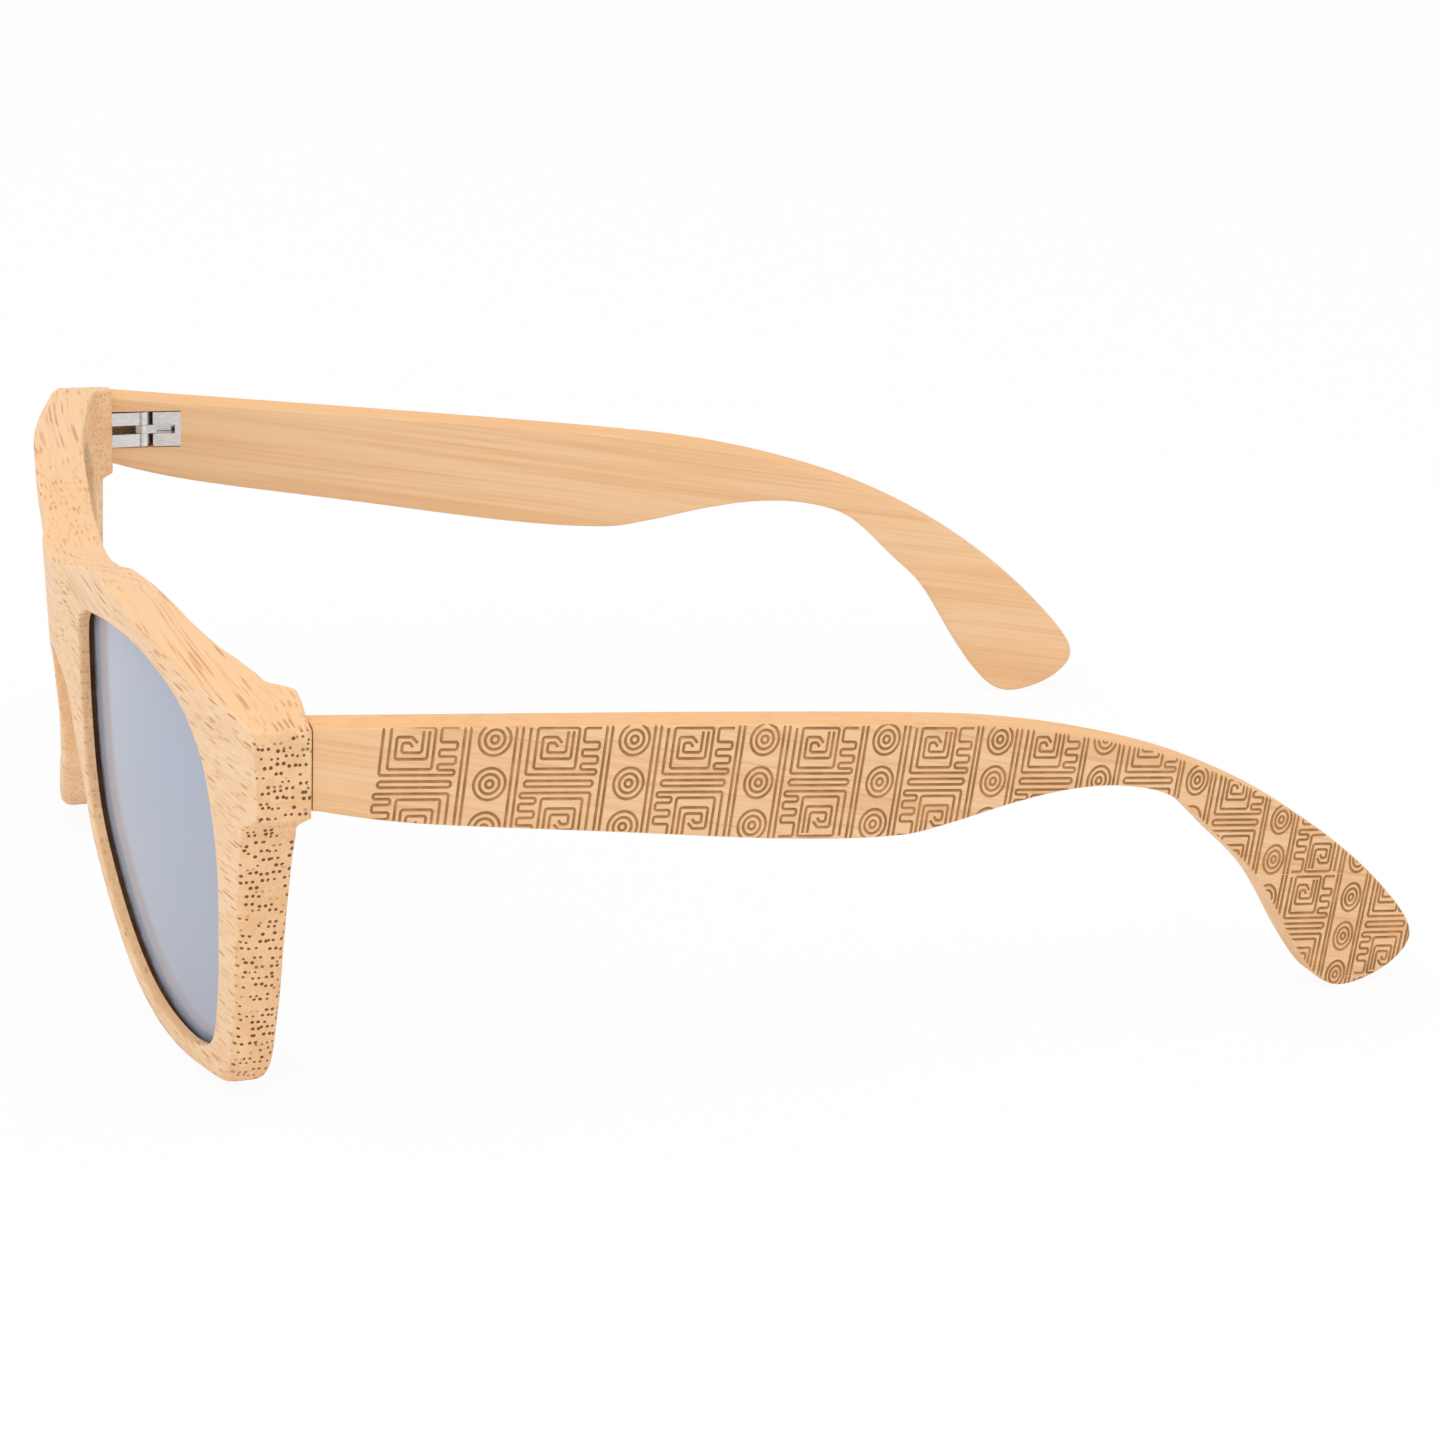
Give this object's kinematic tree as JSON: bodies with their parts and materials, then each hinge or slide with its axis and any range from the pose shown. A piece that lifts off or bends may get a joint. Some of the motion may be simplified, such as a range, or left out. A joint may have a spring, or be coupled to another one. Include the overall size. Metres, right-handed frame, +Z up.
{
  "type": "sunglasses",
  "caption": "Wooden sunglasses with a wrapped one-piece bamboo front, mirror lenses and engraved board temples that fold on small sprung hinges.",
  "frame": {"origin": "middle of the whole box, on the ground that the rim bottoms and temple tips stand on", "axes": "+Z up, +Y from the front back to the temple tips, +X to the wearer's left"},
  "size_m": [0.141, 0.163, 0.0532],
  "materials": {
    "bamboo_front": "satin, end grain on the end pieces",
    "bamboo_temple": "satin, burnt engraving outside",
    "lens": "blue-grey mirror coat",
    "steel": "satin nickel"
  },
  "bodies": {
    "front": {"front_frame": "bamboo_front", "lens_left": "lens", "lens_right": "lens", "nose_pad_left": "bamboo_front", "nose_pad_right": "bamboo_front", "hinge_fork_left": "steel", "hinge_fork_right": "steel", "fork_screws_left": "steel", "fork_screws_right": "steel", "pivot_screw_left": "steel", "pivot_screw_right": "steel"},
    "slider_left": {"hinge_slider_left": "steel", "stop_nut_left": "steel", "spring_left": "steel"},
    "arm_left": {"temple_left": "bamboo_temple", "spring_housing_left": "steel"},
    "slider_right": {"hinge_slider_right": "steel", "stop_nut_right": "steel", "spring_right": "steel"},
    "arm_right": {"temple_right": "bamboo_temple", "spring_housing_right": "steel"}
  },
  "joints": [
    {"name": "fold_left", "type": "hinge", "parent": "front", "child": "slider_left", "pos_m": [0.06603, -0.05956, 0.0447], "axis": [0, 0, 1], "range_deg": [0, 87]},
    {"name": "slide_left", "type": "slide", "parent": "slider_left", "child": "arm_left", "axis": [-0.0872, 0.9962, 0], "range_m": [0, 0.001], "stiffness_N_per_m": 900, "springref_m": -0.001, "deforming": ["spring_left"]},
    {"name": "fold_right", "type": "hinge", "parent": "front", "child": "slider_right", "pos_m": [-0.06603, -0.05956, 0.0447], "axis": [0, 0, -1], "range_deg": [0, 82]},
    {"name": "slide_right", "type": "slide", "parent": "slider_right", "child": "arm_right", "axis": [0.0872, 0.9962, 0], "range_m": [0, 0.001], "stiffness_N_per_m": 900, "springref_m": -0.001, "deforming": ["spring_right"]}
  ]
}
